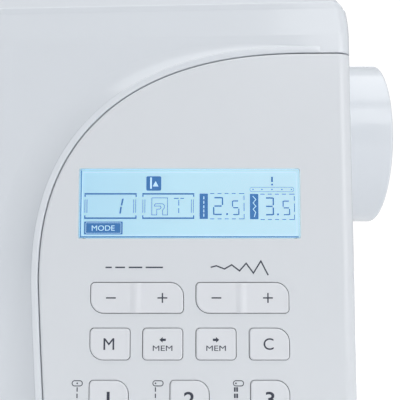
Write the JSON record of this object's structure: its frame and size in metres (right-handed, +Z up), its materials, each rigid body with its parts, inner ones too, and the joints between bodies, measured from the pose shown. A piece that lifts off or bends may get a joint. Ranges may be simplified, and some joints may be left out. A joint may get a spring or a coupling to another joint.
{
  "type": "sewing machine",
  "caption": "Free-arm computerised sewing machine with a raised control panel, screen, keys, handwheel, hinged lid, folding handle and a slide-off accessory box.",
  "frame": {"origin": "on the table, under the middle of the whole machine's box", "axes": "+X along the arm towards the handwheel, -Y towards the sewer, +Z up"},
  "size_m": [0.445, 0.19, 0.294],
  "materials": {
    "white_shell": "moulded gloss ABS",
    "panel_shell": "moulded semi-gloss ABS",
    "key_cap": "moulded satin ABS",
    "grey_control": "moulded satin ABS",
    "dial": "moulded satin ABS",
    "clear_window": "polished acrylic",
    "screen": "backlit liquid crystal display",
    "circuit_board": "fibreglass board",
    "black_moulding": "moulded nylon",
    "cast_frame": "die cast",
    "bright_steel": "ground and plated",
    "dark_steel": "blackened",
    "belt": "toothed rubber"
  },
  "bodies": {
    "root": {"base_tray": "white_shell", "free_arm_cover": "white_shell", "front_cover": "white_shell", "rear_cover": "white_shell", "control_panel": "panel_shell", "face_cover": "white_shell", "lcd_window": "clear_window", "lcd_module": "screen", "control_board": "circuit_board", "frame_casting": "cast_frame", "needle_plate": "bright_steel", "bobbin_case": "black_moulding", "drive_motor": "dark_steel", "timing_belt": "belt", "power_inlet": "black_moulding", "spool_pin": "dial"},
    "upper_shaft": {"handwheel": "white_shell", "main_shaft": "bright_steel", "crank_disc": "cast_frame"},
    "top_lid": {"top_lid": "white_shell"},
    "carry_handle": {"carry_handle": "white_shell"},
    "accessory_box": {"accessory_box": "white_shell"},
    "lower_shaft": {"lower_shaft": "bright_steel"},
    "rotary_hook": {"rotary_hook": "dark_steel"},
    "motor_pulley": {"motor_pulley": "black_moulding"},
    "needle_swing": {"needle_bar_frame": "cast_frame"},
    "needle_bar": {"needle_bar": "bright_steel", "needle_clamp": "bright_steel", "needle": "bright_steel"},
    "take_up_lever": {"take_up_lever": "bright_steel"},
    "lifter_lever": {"lifter_lever": "grey_control"},
    "presser_bar": {"presser_bar": "bright_steel"},
    "presser_foot": {"presser_foot": "bright_steel"},
    "feed_carrier": {"feed_carrier": "dark_steel"},
    "feed_dog": {"feed_dog": "dark_steel"},
    "bobbin_cover": {"bobbin_cover": "clear_window"},
    "bobbin": {"bobbin": "clear_window"},
    "winder_spindle": {"winder_spindle": "dial"},
    "tension_dial": {"tension_dial": "dial"},
    "pressure_dial": {"pressure_dial": "dial"},
    "speed_slider": {"speed_slider": "grey_control"},
    "power_switch": {"power_switch": "black_moulding"},
    "start_stop_button": {"start_stop_button": "grey_control"},
    "reverse_button": {"reverse_button": "grey_control"},
    "needle_position_button": {"needle_position_button": "grey_control"},
    "key_stitch_length": {"key_stitch_length": "key_cap"},
    "key_stitch_width": {"key_stitch_width": "key_cap"},
    "key_mode": {"key_mode": "key_cap"},
    "key_memory_back": {"key_memory_back": "key_cap"},
    "key_memory_next": {"key_memory_next": "key_cap"},
    "key_clear": {"key_clear": "key_cap"},
    "key_1": {"key_1": "key_cap"},
    "key_2": {"key_2": "key_cap"},
    "key_3": {"key_3": "key_cap"},
    "key_4": {"key_4": "key_cap"},
    "key_5": {"key_5": "key_cap"},
    "key_6": {"key_6": "key_cap"},
    "key_7": {"key_7": "key_cap"},
    "key_8": {"key_8": "key_cap"},
    "key_9": {"key_9": "key_cap"}
  },
  "joints": [
    {"name": "top_lid_hinge", "type": "hinge", "parent": "root", "child": "top_lid", "pos_m": [0, 0.0594, 0.2885], "axis": [-1, 0, 0], "range_deg": [0, 92]},
    {"name": "carry_handle_fold", "type": "hinge", "parent": "root", "child": "carry_handle", "pos_m": [0, 0.083, 0.236], "axis": [1, 0, 0], "range_deg": [0, 178]},
    {"name": "accessory_box_slide", "type": "slide", "parent": "root", "child": "accessory_box", "axis": [-1, 0, 0], "range_m": [0, 0.24]},
    {"name": "handwheel_spin", "type": "hinge", "parent": "root", "child": "upper_shaft", "pos_m": [0, -0.006, 0.232], "axis": [1, 0, 0], "continuous": true},
    {"name": "lower_shaft_spin", "type": "hinge", "parent": "root", "child": "lower_shaft", "pos_m": [0, -0.006, 0.058], "axis": [1, 0, 0], "continuous": true},
    {"name": "rotary_hook_spin", "type": "hinge", "parent": "root", "child": "rotary_hook", "pos_m": [-0.167, -0.025, 0.059], "axis": [0, 0, 1], "continuous": true},
    {"name": "motor_pulley_spin", "type": "hinge", "parent": "root", "child": "motor_pulley", "pos_m": [0.16, 0.034, 0.12], "axis": [1, 0, 0], "continuous": true},
    {"name": "needle_swing_hinge", "type": "hinge", "parent": "root", "child": "needle_swing", "pos_m": [-0.167, -0.006, 0.246], "axis": [0, 1, 0], "range_deg": [-1.15, 1.15]},
    {"name": "needle_stroke", "type": "slide", "parent": "needle_swing", "child": "needle_bar", "axis": [0, 0, -1], "range_m": [0, 0.03]},
    {"name": "take_up_swing", "type": "hinge", "parent": "root", "child": "take_up_lever", "pos_m": [-0.18, -0.02, 0.222], "axis": [1, 0, 0], "range_deg": [0, 36]},
    {"name": "lifter_turn", "type": "hinge", "parent": "root", "child": "lifter_lever", "pos_m": [-0.15, 0.066, 0.176], "axis": [0, -1, 0], "range_deg": [0, 75]},
    {"name": "presser_lift", "type": "slide", "parent": "root", "child": "presser_bar", "axis": [0, 0, 1], "range_m": [0, 0.006]},
    {"name": "foot_tilt", "type": "hinge", "parent": "presser_bar", "child": "presser_foot", "pos_m": [-0.167, 0.008, 0.0947], "axis": [1, 0, 0], "range_deg": [-3, 2]},
    {"name": "feed_advance", "type": "slide", "parent": "root", "child": "feed_carrier", "axis": [0, 1, 0], "range_m": [-0.0025, 0.0025]},
    {"name": "feed_lift", "type": "slide", "parent": "feed_carrier", "child": "feed_dog", "axis": [0, 0, 1], "range_m": [0, 0.0013]},
    {"name": "bobbin_cover_slide", "type": "slide", "parent": "root", "child": "bobbin_cover", "axis": [0, -1, 0], "range_m": [0, 0.04]},
    {"name": "bobbin_spin", "type": "hinge", "parent": "root", "child": "bobbin", "pos_m": [-0.167, -0.025, 0.065], "axis": [0, 0, 1], "continuous": true},
    {"name": "winder_spin", "type": "hinge", "parent": "root", "child": "winder_spindle", "pos_m": [0.165, -0.03, 0.264], "axis": [0, 0, 1], "continuous": true},
    {"name": "tension_dial_turn", "type": "hinge", "parent": "root", "child": "tension_dial", "pos_m": [-0.138, -0.06799, 0.232], "axis": [0, 1, 0], "range_deg": [-130, 130]},
    {"name": "pressure_dial_turn", "type": "hinge", "parent": "root", "child": "pressure_dial", "pos_m": [-0.2048, 0.006, 0.226], "axis": [1, 0, 0], "range_deg": [-130, 130]},
    {"name": "speed_slide", "type": "slide", "parent": "root", "child": "speed_slider", "axis": [1, 0, 0], "range_m": [0, 0.027]},
    {"name": "power_switch_rock", "type": "hinge", "parent": "root", "child": "power_switch", "pos_m": [0.1936, -0.032, 0.068], "axis": [0, 0, 1], "range_deg": [-5, 5]},
    {"name": "start_stop_button_press", "type": "slide", "parent": "root", "child": "start_stop_button", "axis": [0, 1, 0], "range_m": [0, 0.0015], "stiffness_N_per_m": 300},
    {"name": "reverse_button_press", "type": "slide", "parent": "root", "child": "reverse_button", "axis": [0, 1, 0], "range_m": [0, 0.0015], "stiffness_N_per_m": 300},
    {"name": "needle_position_button_press", "type": "slide", "parent": "root", "child": "needle_position_button", "axis": [0, 1, 0], "range_m": [0, 0.0015], "stiffness_N_per_m": 300},
    {"name": "key_stitch_length_rock", "type": "hinge", "parent": "root", "child": "key_stitch_length", "pos_m": [0.12545, -0.083, 0.16845], "axis": [0, 0, 1], "range_deg": [-1.5, 1.5], "stiffness_Nm_per_rad": 0.3},
    {"name": "key_stitch_width_rock", "type": "hinge", "parent": "root", "child": "key_stitch_width", "pos_m": [0.15885, -0.083, 0.16845], "axis": [0, 0, 1], "range_deg": [-1.5, 1.5], "stiffness_Nm_per_rad": 0.3},
    {"name": "key_mode_press", "type": "slide", "parent": "root", "child": "key_mode", "axis": [0, 1, 0], "range_m": [0, 0.0008], "stiffness_N_per_m": 300},
    {"name": "key_memory_back_press", "type": "slide", "parent": "root", "child": "key_memory_back", "axis": [0, 1, 0], "range_m": [0, 0.0008], "stiffness_N_per_m": 300},
    {"name": "key_memory_next_press", "type": "slide", "parent": "root", "child": "key_memory_next", "axis": [0, 1, 0], "range_m": [0, 0.0008], "stiffness_N_per_m": 300},
    {"name": "key_clear_press", "type": "slide", "parent": "root", "child": "key_clear", "axis": [0, 1, 0], "range_m": [0, 0.0008], "stiffness_N_per_m": 300},
    {"name": "key_1_press", "type": "slide", "parent": "root", "child": "key_1", "axis": [0, 1, 0], "range_m": [0, 0.0008], "stiffness_N_per_m": 300},
    {"name": "key_2_press", "type": "slide", "parent": "root", "child": "key_2", "axis": [0, 1, 0], "range_m": [0, 0.0008], "stiffness_N_per_m": 300},
    {"name": "key_3_press", "type": "slide", "parent": "root", "child": "key_3", "axis": [0, 1, 0], "range_m": [0, 0.0008], "stiffness_N_per_m": 300},
    {"name": "key_4_press", "type": "slide", "parent": "root", "child": "key_4", "axis": [0, 1, 0], "range_m": [0, 0.0008], "stiffness_N_per_m": 300},
    {"name": "key_5_press", "type": "slide", "parent": "root", "child": "key_5", "axis": [0, 1, 0], "range_m": [0, 0.0008], "stiffness_N_per_m": 300},
    {"name": "key_6_press", "type": "slide", "parent": "root", "child": "key_6", "axis": [0, 1, 0], "range_m": [0, 0.0008], "stiffness_N_per_m": 300},
    {"name": "key_7_press", "type": "slide", "parent": "root", "child": "key_7", "axis": [0, 1, 0], "range_m": [0, 0.0008], "stiffness_N_per_m": 300},
    {"name": "key_8_press", "type": "slide", "parent": "root", "child": "key_8", "axis": [0, 1, 0], "range_m": [0, 0.0008], "stiffness_N_per_m": 300},
    {"name": "key_9_press", "type": "slide", "parent": "root", "child": "key_9", "axis": [0, 1, 0], "range_m": [0, 0.0008], "stiffness_N_per_m": 300}
  ],
  "couplings": [
    {"joint": "lower_shaft_spin", "follows": "handwheel_spin", "ratio": 1},
    {"joint": "rotary_hook_spin", "follows": "handwheel_spin", "ratio": 2},
    {"joint": "motor_pulley_spin", "follows": "handwheel_spin", "ratio": 4.5},
    {"joint": "lifter_turn", "follows": "presser_lift", "rad_per_m": 218.16}
  ]
}
